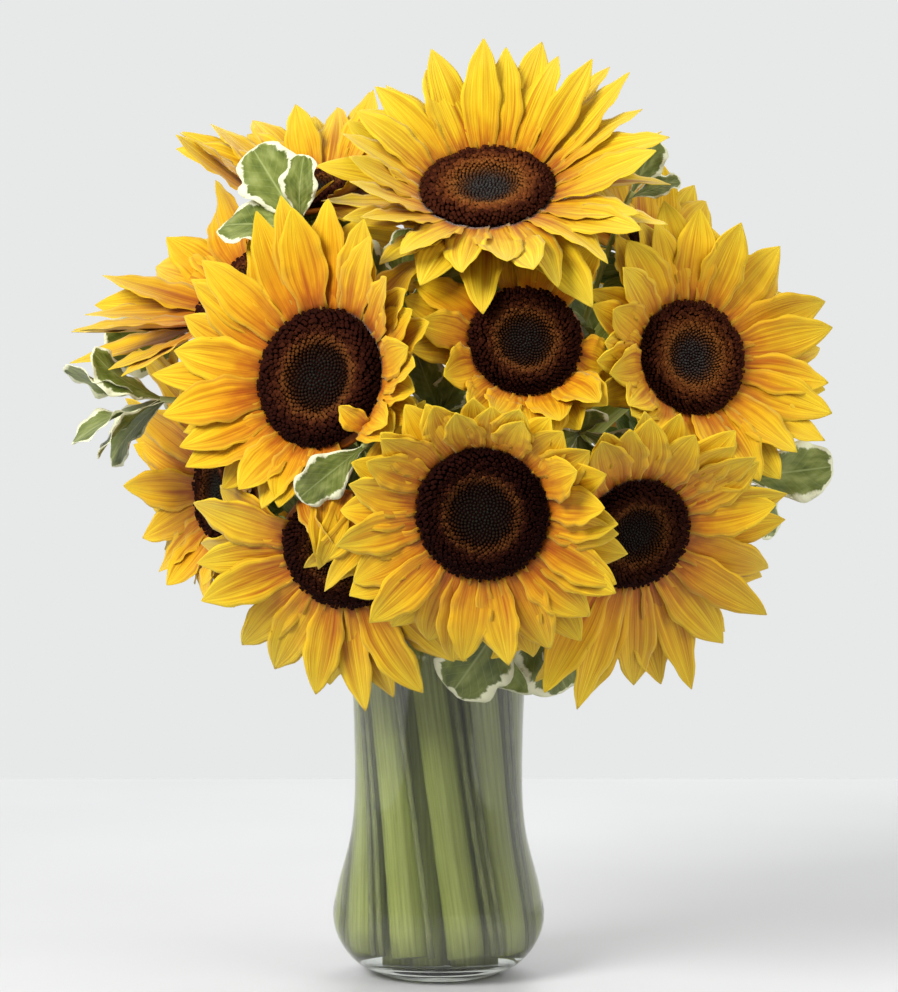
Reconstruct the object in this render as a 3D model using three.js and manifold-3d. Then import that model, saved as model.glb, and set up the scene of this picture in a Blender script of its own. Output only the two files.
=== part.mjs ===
// Sunflowers and variegated foliage in a glass gathering vase.
// Millimetres, +Z up, origin at the centre of the vase's foot. The front of the bouquet faces -Y.
//
// The stems stand on the vase's floor and against the curve that rises from it, run straight through
// the water and bend to their heads.
// Petals and leaves take the first of their bends that is clear of all that stands already,
// so the heads placed first lie over their neighbours, as in a hand-tied bunch.
import * as THREE from "three";
import { mergeVertices } from "three/addons/utils/BufferGeometryUtils.js";
import Module from "manifold-3d";

const wasm = await Module();
wasm.setup();

const rad = THREE.MathUtils.degToRad;

// ---- Driving dimensions ----

const GAP = 0.3; // between pieces that touch
const CLEARANCE = GAP + 0.1; // of the water around a stem
const VASE = {
  wall: 3,
  floor: 10, // thickness of the glass floor
  floorRadius: 31, // where the inner floor starts to turn up
  turnUp: 34, // height at which the inner wall is free of that turn
  segments: 24,
  divisions: 10, // of the outline
};
// The outside of the glass, as [radius, height], from the foot to the rim.
const VASE_OUTLINE = [
  [28, 0],
  [39.3, 5.5],
  [47.2, 15],
  [50.7, 26.5],
  [49, 40],
  [41.4, 72],
  [40.4, 112],
  [43.2, 158],
  [51.5, 202],
];
const WATER_LEVEL = 158;

const STEM = {
  neck: 6.4, // radius behind the head
  sides: 6,
  free: 172, // height at which a stem starts to bend
  waist: 115, // height at which the bunch is narrowest
  rise: 40, // how far a stem goes on upward before it turns to its head
  reach: 42, // and how far it comes straight out behind the head
  low: 260, // heads under this height nod over the rim,
  lowRise: 46, // so that their stems rise further first
};
// Rings of stems: how far from the axis at the waist, the slope with which they twist, the radius of
// their stems in the vase, and the height of the cut ends, which is more where the floor turns up.
const OUTER_RING = { radius: 28.3, slope: 0.12, stem: 8, foot: 15 };
const INNER_RING = { radius: 13.8, slope: 0.06, stem: 6.2, foot: VASE.floor + GAP };
const SPRAY_RING = { radius: 33.4, slope: 0.14, stem: 1.7, foot: 15 };
// Angles at the waist where a spray's thin stem fits between the outer ring's stems.
const SPRAY_SLOTS = Array.from({ length: 16 }, (_, i) => 21.5 + 45 * Math.floor(i / 2) + (i % 2 ? 3.9 : -3.9));

// Heights along the head's axis, measured from the plane that the petals grow from.
const HEAD = {
  plateTop: 0,
  plateBottom: -2.7,
  plateReach: 1, // the plate that carries the petals is this much wider than the disc
  plateSides: 10,
  cupTop: -3,
  cupDepth: 20,
  bractReach: 5,
  bractDrop: 11,
  discBottom: 0.3,
  discSides: 12,
};
const PETAL = {
  width: 16.5,
  thickness: 1.2,
  rootSink: 3.5,
  rootShare: 0.42, // half width at the root, as a share of the widest
  fold: 0.14, // how far the edges rise, as a share of the half width
  wave: 0.06, // and how far they wave
  layerDrop: 1.1,
  pitches: [rad(-20), rad(46)], // from where the bracts stop a petal to where the disc does
  layerPitch: 9, // the back layer lies this much flatter, in degrees
};
// slimness: a leaf's width as a share of its length.
const LEAF = {
  slimness: 0.56,
  thickness: 1.2,
  fold: 0.14,
  wave: 0.16,
  pitches: [rad(-60), rad(85)],
  stemSides: 4,
};

// Sunflowers, those whose petals lie on top first. at: centre of the disc. facing: [turn, tilt] in degrees,
// turn 0 to the front and 90 to the right, tilt above the horizon. disc: its radius, petal: length and count.
// cup: pitch of the petals. lean: [by, clock], petals at that clock angle (0 right, 90 up, facing the head)
// rise by that much more. short: [share, clock], petals at that clock angle are that much shorter, and those
// opposite that much longer. slot: [ring, angle at the waist], the place of its stem in the vase.
const SUNFLOWERS = [
  { at: [20, -126, 227], facing: [-8, -8], disc: 31, petal: [34.5, 20],
    cup: 14, lean: [26, 80], short: [0.25, 80], slot: [OUTER_RING, 44] },
  { at: [23, -50, 372], facing: [-5, 52], disc: 32.5, petal: [52, 20],
    cup: 27, lean: [18, 104], short: [0.12, 200], slot: [INNER_RING, 200] },
  { at: [-52, -92, 286], facing: [-28, 10], disc: 33.5, petal: [38, 20],
    cup: 24, lean: [20, 330], short: [0.42, 320], slot: [INNER_RING, -40] },
  { at: [115, -68, 295], facing: [24, 10], disc: 27.5, petal: [39, 20],
    cup: 20, lean: [17, 215], short: [0.3, 205], slot: [INNER_RING, 80] },
  { at: [39, -93, 302], facing: [5, 18], disc: 26.5, petal: [28, 18],
    cup: 36, lean: [8, 90], short: [0.2, 300], slot: [INNER_RING, 20] },
  { at: [88, -95, 217], facing: [20, -18], disc: 27, petal: [48, 19],
    cup: 6, lean: [10, 110], short: [0.32, 95], slot: [OUTER_RING, 89] },
  { at: [-43, -95, 209], facing: [-18, -20], disc: 28.5, petal: [51, 19],
    cup: 6, lean: [10, 60], short: [0, 0], slot: [OUTER_RING, -1] },
  { at: [-95, -10, 327], facing: [-64, 42], disc: 25, petal: [54, 17],
    cup: 34, lean: [0, 0], short: [0.22, 90], slot: [OUTER_RING, -91] },
  { at: [-60, 18, 374], facing: [-24, 68], disc: 25, petal: [55, 17],
    cup: 36, lean: [10, 270], short: [0, 0], slot: [INNER_RING, -100] },
  { at: [-102, -22, 233], facing: [-62, 0], disc: 24, petal: [46, 17],
    cup: 20, lean: [0, 0], short: [0.35, 280], slot: [OUTER_RING, -46] },
  { at: [108, 20, 336], facing: [50, 38], disc: 25.5, petal: [44, 15],
    cup: 22, lean: [0, 0], short: [0, 0], slot: [INNER_RING, 140] },
  { at: [108, 58, 238], facing: [116, -4], disc: 27, petal: [48, 14],
    cup: 14, lean: [0, 0], short: [0, 0], slot: [OUTER_RING, 134] },
  { at: [24, 96, 333], facing: [176, 32], disc: 27, petal: [50, 13],
    cup: 20, lean: [0, 0], short: [0, 0], slot: [OUTER_RING, 179] },
  { at: [-58, 90, 248], facing: [-150, 0], disc: 27, petal: [48, 13],
    cup: 16, lean: [0, 0], short: [0, 0], slot: [OUTER_RING, -136] },
];

// Sprays of foliage. at: where the leaves spring from, pointing: [turn, tilt] of the shoot's end,
// leaves: [clock angle, pitch, length] of each, after: how many sunflowers stand before they are fitted in.
const SPRAYS = [
  { at: [-63, -66, 356], pointing: [-25, 25], after: 4,
    leaves: [[128, 12, 52], [172, 14, 44], [40, 50, 38], [80, 60, 34]] },
  { at: [-15, -72, 326], pointing: [-10, 20], after: 4,
    leaves: [[150, 20, 44], [100, 55, 34], [20, 60, 34], [260, 40, 34]] },
  { at: [1, -84, 272], pointing: [0, 10], after: 4,
    leaves: [[225, 25, 38], [120, 65, 34], [60, 50, 32], [330, 45, 34]] },
  { at: [-33, -110, 256], pointing: [-15, -10], after: 2,
    leaves: [[215, 20, 38]] },
  { at: [-130, -38, 276], pointing: [-80, 5], after: 10,
    leaves: [[90, 76, 48], [60, 70, 44], [265, 78, 52], [285, 58, 42], [230, 40, 46]] },
  { at: [-104, -24, 208], pointing: [-80, -10], after: 10,
    leaves: [[240, 50, 36], [290, 60, 34]] },
  { at: [140, -55, 240], pointing: [50, -5], after: 7,
    leaves: [[80, 15, 34], [10, 40, 50], [320, 15, 44], [250, 40, 36], [170, 50, 32]] },
  { at: [92, -8, 374], pointing: [35, 45], after: 7,
    leaves: [[50, 40, 32], [350, 40, 26]] },
  { at: [36, -80, 186], pointing: [10, -15], after: 7,
    leaves: [[240, 4, 60], [270, 2, 66], [300, 6, 60]] },
  { at: [66, -84, 262], pointing: [20, 5], after: 7,
    leaves: [[110, 60, 32], [200, 45, 34], [285, 20, 42], [330, 40, 36]] },
  { at: [-118, 60, 300], pointing: [-120, 10], after: 14,
    leaves: [[0, 40, 54], [55, 15, 50], [110, 45, 54], [170, 20, 52], [250, 40, 52]] },
  { at: [86, 98, 290], pointing: [150, 10], after: 14,
    leaves: [[20, 40, 54], [80, 15, 52], [140, 45, 54], [200, 20, 52], [280, 30, 52]] },
  { at: [10, 112, 236], pointing: [180, -15], after: 14,
    leaves: [[5, 45, 50], [75, 20, 52], [145, 45, 54], [215, 30, 52], [285, 30, 52]] },
];

const COLOURS = {
  glass: { color: 0xdfe8e6, roughness: 0.04, metalness: 0, transparent: true, opacity: 0.3 },
  water: { color: 0xd5e2dc, roughness: 0.02, metalness: 0, transparent: true, opacity: 0.3 },
  petals: { color: 0xf3b61c, roughness: 0.6, metalness: 0 },
  florets: { color: 0x2e1712, roughness: 0.9, metalness: 0 },
  stem: { color: 0x8a9a4c, roughness: 0.6, metalness: 0 },
  leaves: { color: 0x6f8446, roughness: 0.5, metalness: 0 },
};

// ---- Small helpers ----

const lerp = THREE.MathUtils.lerp;
const smooth = (x, from, to) => THREE.MathUtils.smoothstep(x, from, to);
const vec = (x, y, z) => new THREE.Vector3(x, y, z);
// a + b times k
const plus = (a, b, k = 1) => a.clone().addScaledVector(b, k);

// A draw from 0 to 1, the same every time, for the nth need of one piece of one owner.
function chance(owner, piece, need) {
  const s = Math.sin(owner * 127.1 + piece * 311.7 + need * 74.7) * 43758.5453;
  return s - Math.floor(s);
}
const between = (low, high, draw) => low + (high - low) * draw;
const around = (count) => Array.from({ length: count }, (_, j) => (2 * Math.PI * j) / count);

// The direction with this turn from the front and this tilt above the horizon.
function heading([turn, tilt]) {
  const [t, e] = [rad(turn), rad(tilt)];
  return vec(Math.sin(t) * Math.cos(e), -Math.cos(t) * Math.cos(e), Math.sin(e));
}

// Directions of a head or shoot: out of its face, and right and up as seen by someone facing it.
function frameOf(out) {
  const right = vec(-out.y, out.x, 0).normalize();
  return { out, right, up: out.clone().cross(right).normalize() };
}

// A geometry's solid, for joining and cutting.
function solidOf(geometry) {
  const bare = geometry.clone();
  bare.deleteAttribute("normal");
  bare.deleteAttribute("uv");
  const merged = mergeVertices(bare, 1e-4);
  const [vertProperties, index] = [merged.attributes.position.array, merged.index.array];
  const triVerts = [];
  for (let i = 0; i < index.length; i += 3) {
    const [a, b, c] = index.slice(i, i + 3);
    if (a !== b && b !== c && a !== c) triVerts.push(a, b, c);
  }
  const made = (list) =>
    new wasm.Manifold(new wasm.Mesh({ numProp: 3, vertProperties, triVerts: Uint32Array.from(list) }));
  const solid = made(triVerts);
  return solid.volume() > 0 ? solid : made(triVerts.toReversed());
}

// A closed solid through rings of points. A ring may be a single tip, or have twice the points of the last.
function loft(rings) {
  const starts = [];
  rings.reduce((sum, ring) => (starts.push(sum), sum + ring.length), 0);
  const faces = [];
  for (let i = 0; i + 1 < rings.length; i++) {
    const [a, b] = [rings[i].length, rings[i + 1].length];
    const from = (j) => starts[i] + (j % a);
    const to = (j) => starts[i + 1] + (j % b);
    for (let j = 0; j < Math.max(a, b); j++) {
      if (a === 1) faces.push([from(0), to(j + 1), to(j)]);
      else if (b === 1) faces.push([from(j), from(j + 1), to(0)]);
      else if (b === a) faces.push([from(j), from(j + 1), to(j + 1)], [from(j), to(j + 1), to(j)]);
      else if (j < a) {
        faces.push([from(j), to(2 * j + 1), to(2 * j)], [from(j), from(j + 1), to(2 * j + 1)]);
        faces.push([from(j + 1), to(2 * j + 2), to(2 * j + 1)]);
      }
    }
  }
  const cap = (start, count, flip) => {
    for (let j = 1; j + 1 < count; j++) {
      const fan = [start, start + j, start + j + 1];
      faces.push(flip ? fan.reverse() : fan);
    }
  };
  cap(starts[0], rings[0].length, true);
  cap(starts.at(-1), rings.at(-1).length, false);
  const geometry = new THREE.BufferGeometry().setFromPoints(rings.flat());
  return solidOf(geometry.setIndex(faces.flat()));
}

// Rings of a round rod through points, with a radius for each and frames carried along so that it doesn't twist.
function rodRings(points, radii, sides) {
  let side = vec(1, 0, 0);
  return points.map((p, i) => {
    const before = points[Math.max(i - 1, 0)];
    const after = points[Math.min(i + 1, points.length - 1)];
    const along = after.clone().sub(before).normalize();
    side = plus(side, along, -side.dot(along)).normalize();
    const other = along.clone().cross(side);
    return around(sides).map((a) => plus(plus(p, side, radii[i] * Math.cos(a)), other, radii[i] * Math.sin(a)));
  });
}

// The cut end of a stem stands flat on the glass.
function stemRings({ route, radii, sides }) {
  const rings = rodRings(route, radii, sides);
  rings[0].forEach((p) => (p.z = route[0].z));
  return rings;
}

// ---- What stands already: points with a radius, kept in cells ----

const CELL = 12;
class Crowd {
  cells = new Map();
  key = (x, y, z) => (x + 512) * 1048576 + (y + 512) * 1024 + z + 512;
  add(points, radius, owner) {
    for (const p of points) {
      const key = this.key(Math.floor(p.x / CELL), Math.floor(p.y / CELL), Math.floor(p.z / CELL));
      if (!this.cells.has(key)) this.cells.set(key, []);
      this.cells.get(key).push({ p, radius, owner });
    }
  }
  // Whether all these points keep their radius and the others' from every other owner's points.
  clear(points, radius, owner) {
    return points.every((p) => {
      const [x, y, z] = [p.x, p.y, p.z].map((v) => Math.floor(v / CELL));
      for (let i = x - 1; i <= x + 1; i++)
        for (let j = y - 1; j <= y + 1; j++)
          for (let k = z - 1; k <= z + 1; k++)
            for (const o of this.cells.get(this.key(i, j, k)) ?? [])
              if (o.owner !== owner && p.distanceTo(o.p) < radius + o.radius) return false;
      return true;
    });
  }
}
const crowd = new Crowd();

// ---- Glass and water ----

const outside = new THREE.SplineCurve(VASE_OUTLINE.map(([r, z]) => new THREE.Vector2(r, z)));

const TURN_ANGLES = [1 / 3, 2 / 3, 1].map((share) => (share * Math.PI) / 2);
// The inner wall from a top height down to the floor, as [radius, height] points, set in by inset.
function insideProfile(top, inset, floor) {
  const wall = outside.getPoints(VASE.divisions).reverse();
  const above = wall.findLastIndex((p) => p.y > top);
  const below = wall.slice(above + 1).filter((p) => p.y > VASE.turnUp);
  const [high, low] = [wall[Math.max(above, 0)], below[0]];
  const brim = high.clone().lerp(low, (high.y - top) / Math.max(high.y - low.y, 1e-6));
  const straight = [brim, ...below].map((p) => new THREE.Vector2(p.x - inset, p.y));
  const bend = straight.at(-1);
  const radius = VASE.floorRadius - (inset - VASE.wall);
  const turn = TURN_ANGLES.map(
    (a) => new THREE.Vector2(lerp(radius, bend.x, Math.cos(a)), lerp(bend.y, floor, Math.sin(a))),
  );
  return [...straight, ...turn, new THREE.Vector2(0, floor)];
}

function lathe(profile) {
  return solidOf(new THREE.LatheGeometry(profile, VASE.segments).rotateX(Math.PI / 2));
}

function vaseSolid() {
  const rim = outside.getPoint(1);
  const inner = insideProfile(rim.y - 0.01, VASE.wall, VASE.floor);
  return lathe([new THREE.Vector2(0, 0), ...outside.getPoints(VASE.divisions), ...inner]);
}

function waterSolid(stems) {
  const profile = insideProfile(WATER_LEVEL, VASE.wall + GAP, VASE.floor + GAP);
  const body = lathe([new THREE.Vector2(0, WATER_LEVEL), ...profile].reverse());
  const holes = stems.map(({ route: [foot, free], radii, sides }) => {
    const along = free.clone().sub(foot).normalize();
    const route = [plus(foot, along, -CLEARANCE), plus(foot, along, WATER_LEVEL)];
    return loft(stemRings({ route, radii: route.map(() => radii[0] + CLEARANCE), sides }));
  });
  return body.subtract(wasm.Manifold.union(holes));
}

// ---- Stems ----

// Where a stem in a ring of the bunch is at a height: the bunch twists about the vase's axis.
function slotAt([ring, angle], height) {
  const a = rad(angle);
  const across = (STEM.waist - height) * ring.slope;
  return vec(
    ring.radius * Math.sin(a) + across * Math.cos(a),
    -ring.radius * Math.cos(a) + across * Math.sin(a),
    height,
  );
}

// From the foot straight up to the free height, then in one bend to the end, which it meets along out.
function stemRoute(slot, end, out, rise, reach, steps) {
  const foot = slotAt(slot, slot[0].foot);
  const free = slotAt(slot, STEM.free);
  const along = free.clone().sub(foot).normalize();
  const bend = new THREE.CubicBezierCurve3(free, plus(free, along, rise), plus(end, out, -reach), end);
  return [foot, ...bend.getPoints(steps)];
}

// Radius of a ring's stem at the jth point of its route: foot and free height first, then up to the head.
const stemRadius = (ring, j) => (j < 2 ? ring.stem : j === 2 ? (ring.stem + STEM.neck) / 2 : STEM.neck);

// ---- Blades: petals and leaves ----

// Stations of a blade. s runs from root to tip, the pitch changes by curl over the length,
// the blade sways to one side and rolls about its own line, and its edges rise and wave.
function stationsOf(blade, at) {
  const { root, radial, out, pitch, curl, length, sway, roll, half, fold, wave } = blade;
  const across = out.clone().cross(radial);
  return at.map((s) => {
    const turned = pitch + curl * s;
    const forth = (length * (Math.sin(turned) - Math.sin(pitch))) / curl;
    const rise = (length * (Math.cos(pitch) - Math.cos(turned))) / curl;
    const mid = plus(plus(plus(root, radial, forth), out, rise), across, sway * length * s * s);
    const normal = plus(out.clone().multiplyScalar(Math.cos(turned)), radial, -Math.sin(turned));
    const side = plus(across.clone().multiplyScalar(Math.cos(roll * s)), normal, Math.sin(roll * s));
    const face = plus(normal.multiplyScalar(Math.cos(roll * s)), across, -Math.sin(roll * s));
    const lifts = [2.1, 0].map((start) => half(s) * (fold + wave * Math.sin(11 * s + start)));
    return { mid, side, face, half: half(s), lifts };
  });
}

function bladeSolid(blade, at, thickness) {
  const rings = stationsOf(blade, at).map(({ mid, side, face, half, lifts }) => {
    if (half < 0.01) return [mid];
    const edges = [half, -half].map((w, i) => plus(plus(mid, side, w), face, lifts[i]));
    return [...edges, plus(mid, face, -thickness)];
  });
  return loft(rings);
}

const PROBES = [0.07, 0.16, 0.28, 0.4, 0.52, 0.64, 0.76, 0.88, 1];
const ACROSS = [-1, -0.5, 0, 0.5, 1];
function probesOf(blade) {
  return stationsOf(blade, PROBES).flatMap(({ mid, side, face, half, lifts }) =>
    half < 0.01
      ? [mid]
      : ACROSS.map((w) => plus(plus(mid, side, w * half), face, lifts[w > 0 ? 0 : 1] * Math.abs(w))),
  );
}

// The first of a blade's bends, and then of its shorter sizes, that is clear of the crowd.
const BENDS = [0, -9, 9, -18, 18, -27, 27, -36, 36, 45];
const SIZES = [1, 0.82, 0.64];
const BLADE_RADIUS = 2.4;
function fitted(blade, owner) {
  for (const size of SIZES)
    for (const bend of BENDS) {
      const pitch = THREE.MathUtils.clamp(blade.pitch + rad(bend), ...blade.pitches);
      const bent = { ...blade, pitch, length: blade.length * size };
      const probes = probesOf(bent);
      if (crowd.clear(probes, BLADE_RADIUS, owner)) {
        crowd.add(probes, BLADE_RADIUS, owner);
        return bent;
      }
    }
  return null;
}

// How much of its width a blade still has at s, when it narrows from there on to nothing at the tip.
const narrowed = (s, from, power) => 1 - Math.pow(Math.max(s - from, 0) / (1 - from), power);

// Half width of a petal: narrow at the root, widest before the middle, drawn to a point.
function petalHalf(width) {
  return (s) => (width / 2) * lerp(PETAL.rootShare, 1, smooth(s, 0, 0.45)) * narrowed(s, 0.45, 2.6);
}

// Half width of a leaf: a thin stalk, widest past the middle, with a blunt end.
function leafHalf(width) {
  return (s) => (width / 2) * lerp(0.1, 1, smooth(s, 0.02, 0.6)) * Math.sqrt(narrowed(s, 0.5, 3));
}

// ---- Sunflower heads ----

function discPoint(head, angle, radius, height) {
  const { at, frame } = head;
  const flat = plus(plus(at, frame.right, radius * Math.cos(angle)), frame.up, radius * Math.sin(angle));
  return plus(flat, frame.out, height);
}

// Rings of florets, as [share of the disc's radius, height]: a low middle inside a raised wreath.
const DISC_RINGS = [
  [0.93, 2.8],
  [0.86, 6.4],
  [0.62, 5.4],
  [0.36, 3.2],
];
const DISC_MIDDLE = 3.6; // height of the disc's middle
const DISC_UNDER = 0.82; // share of the radius on which the disc stands
const DISC_BUMP = 0.5; // how far every second floret of a ring stands out
function discSolid(head) {
  const { disc } = head;
  const ring = (share, height, turn, bump) =>
    around(HEAD.discSides).map((a, j) => {
      const up = j % 2 === 0 ? bump : -bump;
      return discPoint(head, a + (turn * 2 * Math.PI) / HEAD.discSides, disc * share + up, height + up);
    });
  return loft([
    [discPoint(head, 0, 0, HEAD.discBottom)],
    ring(DISC_UNDER, HEAD.discBottom, 0, 0),
    ...DISC_RINGS.map(([share, height], i) => ring(share, height, i / 2, DISC_BUMP)),
    [discPoint(head, 0, 0, DISC_MIDDLE)],
  ]);
}

// The stem, widening into the cup with its ring of pointed bracts.
function stemSolid(head) {
  const { disc, stem } = head;
  const rings = stemRings(stem);
  // The cup's rings start in line with the rod's last ring.
  const first = rings.at(-1)[0].clone().sub(stem.route.at(-1));
  const start = Math.atan2(first.dot(head.frame.up), first.dot(head.frame.right));
  const ring = (count, radiusOf, heightOf) =>
    around(count).map((a, j) => discPoint(head, start + a, radiusOf(j % 2), heightOf(j % 2)));
  return loft([
    ...rings,
    ring(STEM.sides, () => disc * 0.5, () => -HEAD.cupDepth * 0.72),
    ring(
      2 * STEM.sides,
      (tip) => (tip ? disc + HEAD.bractReach : disc - 2.5),
      (tip) => (tip ? -HEAD.bractDrop : -6.5),
    ),
    ring(2 * STEM.sides, () => disc - 4, () => HEAD.cupTop),
  ]);
}

// The petals of one head: a thin plate that carries them, and the blades with their roots sunk in it.
const PETAL_STATIONS = [0, 0.38, 0.76, 1];
function petalsSolid(head, petals) {
  const rim = (height) =>
    around(HEAD.plateSides).map((a) => discPoint(head, a, head.disc + HEAD.plateReach, height));
  const plate = loft([rim(HEAD.plateBottom), rim(HEAD.plateTop)]);
  const blades = petals.map((petal) => bladeSolid(petal, PETAL_STATIONS, PETAL.thickness));
  return wasm.Manifold.union([plate, ...blades]);
}

// One petal of a head, before it is fitted in.
function petalOf(head, index, k) {
  const { disc, cup, lean, short, frame, petal } = head;
  const layer = k % 2;
  const draw = (need) => chance(index, k, need);
  const angle = (2 * Math.PI * (k + between(-0.25, 0.25, draw(0)))) / petal[1];
  const radial = clockwise(frame, angle);
  const raised = cup + lean[0] * Math.cos(angle - rad(lean[1])) - layer * PETAL.layerPitch;
  const length = petal[0] * (1 - short[0] * Math.cos(angle - rad(short[1])));
  const sunk = plus(head.at, radial, disc + HEAD.plateReach - PETAL.rootSink);
  const root = plus(sunk, frame.out, -0.4 - layer * PETAL.layerDrop);
  return {
    root,
    radial,
    out: frame.out,
    pitch: rad(raised + between(-6, 6, draw(1))),
    pitches: PETAL.pitches,
    curl: rad(between(-38, 12, draw(2)) - 1),
    length: length * between(0.9, 1.06, draw(3)) + PETAL.rootSink,
    sway: between(-0.1, 0.1, draw(4)),
    roll: rad(between(-28, 28, draw(5))),
    half: petalHalf(PETAL.width * between(0.88, 1.12, draw(6))),
    fold: PETAL.fold,
    wave: PETAL.wave,
  };
}

// ---- Foliage ----

const LEAF_STATIONS = [0, 0.3, 0.6, 0.86, 1];
// The point this far back from the end of a route.
function alongEnd(route, back) {
  const [before, end] = route.slice(-2);
  return end.clone().lerp(before, back / end.distanceTo(before));
}

// The direction at this clock angle, as seen by someone facing the head or shoot.
function clockwise(frame, angle) {
  return plus(frame.right.clone().multiplyScalar(Math.cos(angle)), frame.up, Math.sin(angle));
}

function leafOf(spray, index, k) {
  const { frame, leaves, stem } = spray;
  const [clock, pitch, length] = leaves[k];
  const draw = (need) => chance(100 + index, k, need);
  const radial = clockwise(frame, rad(clock));
  return {
    root: alongEnd(stem.route, 1 + 2.5 * (k % 3)),
    radial,
    out: frame.out,
    pitch: rad(pitch),
    pitches: LEAF.pitches,
    curl: rad(between(-40, -10, draw(2))),
    length,
    sway: between(-0.1, 0.1, draw(4)),
    roll: rad(between(-25, 25, draw(5))),
    half: leafHalf(length * LEAF.slimness * between(0.92, 1.08, draw(6))),
    fold: LEAF.fold,
    wave: LEAF.wave,
  };
}

function spraySolid(spray, leaves) {
  const shoot = loft(stemRings(spray.stem));
  const blades = leaves.map((leaf) => bladeSolid(leaf, LEAF_STATIONS, LEAF.thickness));
  return wasm.Manifold.union([shoot, ...blades]);
}

// ---- Assembly ----

const group = new THREE.Group();
function place(name, solid, colour) {
  const { numProp, vertProperties, triVerts, numVert } = solid.getMesh();
  const position = new Float32Array(numVert * 3);
  for (let i = 0; i < numVert; i++) {
    position.set(vertProperties.subarray(i * numProp, i * numProp + 3), i * 3);
  }
  const geometry = new THREE.BufferGeometry();
  geometry.setAttribute("position", new THREE.BufferAttribute(position, 3));
  geometry.setIndex(new THREE.BufferAttribute(triVerts, 1));
  geometry.computeVertexNormals();
  const mesh = new THREE.Mesh(geometry, new THREE.MeshStandardMaterial(COLOURS[colour]));
  mesh.name = name;
  group.add(mesh);
}
const numbered = (word, index) => word + "_" + String(index + 1).padStart(2, "0");

const heads = SUNFLOWERS.map((flower) => {
  const out = heading(flower.facing);
  const at = vec(...flower.at);
  const head = { ...flower, at, frame: frameOf(out) };
  const back = plus(at, out, -HEAD.cupDepth + 2);
  const rise = at.z < STEM.low ? STEM.lowRise : STEM.rise;
  const route = stemRoute(flower.slot, back, out, rise, STEM.reach, 5);
  head.stem = { route, radii: route.map((_, j) => stemRadius(flower.slot[0], j)), sides: STEM.sides };
  return head;
});

// Points along a route no further apart than step.
function spaced(route, step) {
  return route.slice(1).flatMap((b, i) => {
    const a = route[i];
    const count = Math.ceil(a.distanceTo(b) / step);
    return Array.from({ length: count }, (_, j) => a.clone().lerp(b, (j + 1) / count));
  });
}

// Rings of points over the cup, the bracts' tips and the disc,
// as [how much further out than the disc, height, radius].
const HEAD_PROBES = [
  [-14, -12, 6],
  [-4, -7, 4.5],
  [4, -10.5, 2.2],
  [0, -2, 3.2],
  [0, 3, 3],
  [-7, 5, 4],
  [-16, 4, 5],
];
const ROOM = 0.6; // kept around a stem
heads.forEach((head, i) => {
  const [inVase, above] = [head.stem.route.slice(0, 2), head.stem.route.slice(1)];
  crowd.add(spaced(inVase, 5), head.stem.radii[0] + ROOM, i);
  crowd.add(spaced(above, 5), STEM.neck + ROOM, i);
  for (const [further, height, radius] of HEAD_PROBES)
    crowd.add(around(18).map((a) => discPoint(head, a, head.disc + further, height)), radius, i);
});
// The glass above its waist, where flowers hang over it.
const [[waistRadius, waistHeight], , [rimRadius, rimHeight]] = VASE_OUTLINE.slice(-3);
for (let height = waistHeight + 6; height <= rimHeight + 2; height += 6) {
  const t = (height - waistHeight) / (rimHeight - waistHeight);
  const radius = lerp(waistRadius, rimRadius, t * t) - VASE.wall / 2;
  crowd.add(around(54).map((a) => vec(radius * Math.cos(a), radius * Math.sin(a), height)), 2.5, "glass");
}

// The end and the stem of a spray: the first clear way to it, from the places nearest to it in the bunch,
// or else to an end set further in.
const SET_IN = [0, 6, 12, 18, 24];
const RISES = [30, 50, 70, 90, 15];
const REACHES = [30, 50, 15, 70, 95];
function shootOf({ at, frame }, owner) {
  const turn = THREE.MathUtils.radToDeg(Math.atan2(at.x, -at.y));
  const off = (slot) => Math.abs(((slot - turn + 540) % 360) - 180);
  const slots = SPRAY_SLOTS.toSorted((a, b) => off(a) - off(b)).slice(0, 10);
  for (const setIn of SET_IN)
    for (const slot of slots)
      for (const rise of RISES)
        for (const reach of REACHES) {
          const end = plus(at, frame.out, -setIn);
          const route = stemRoute([SPRAY_RING, slot], end, frame.out, rise, reach, 5);
          const probes = spaced(route, 4);
          if (crowd.clear(probes, SPRAY_RING.stem + 0.4, owner)) {
            crowd.add(probes, SPRAY_RING.stem + ROOM, owner);
            const radii = route.map(() => SPRAY_RING.stem);
            return { at: end, stem: { route, radii, sides: LEAF.stemSides } };
          }
        }
  return null;
}

const sprays = SPRAYS.map((spray, i) => {
  const made = { ...spray, at: vec(...spray.at), frame: frameOf(heading(spray.pointing)) };
  return { ...made, ...shootOf(made, 100 + i) };
});
const lost = sprays.flatMap((s, i) => (s.stem ? [] : [i + 1]));
if (lost.length) throw new Error("no clear way for the shoots of sprays " + lost);

function leafOut(after) {
  sprays.forEach((spray, i) => {
    if (spray.after !== after) return;
    const leaves = spray.leaves.map((_, k) => fitted(leafOf(spray, i, k), 100 + i));
    place(numbered("foliage", i), spraySolid(spray, leaves.filter(Boolean)), "leaves");
  });
}

place("vase", vaseSolid(), "glass");
place("water", waterSolid([...heads, ...sprays].map((piece) => piece.stem)), "water");
heads.forEach((head, i) => {
  const petals = Array.from({ length: head.petal[1] }, (_, k) => fitted(petalOf(head, i, k), i));
  const name = numbered("sunflower", i);
  place(name + "_petals", petalsSolid(head, petals.filter(Boolean)), "petals");
  place(name + "_disc", discSolid(head), "florets");
  place(name + "_stem", stemSolid(head), "stem");
  leafOut(i + 1);
});

export default group;
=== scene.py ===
"""Sunflowers and variegated foliage in a glass gathering vase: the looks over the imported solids.

The layout below is the solids' own, in millimetres: the same heads, shoots and vase, and the same rule
that bends each petal and leaf clear of what stands already. Meshes are written in metres.
"""

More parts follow.
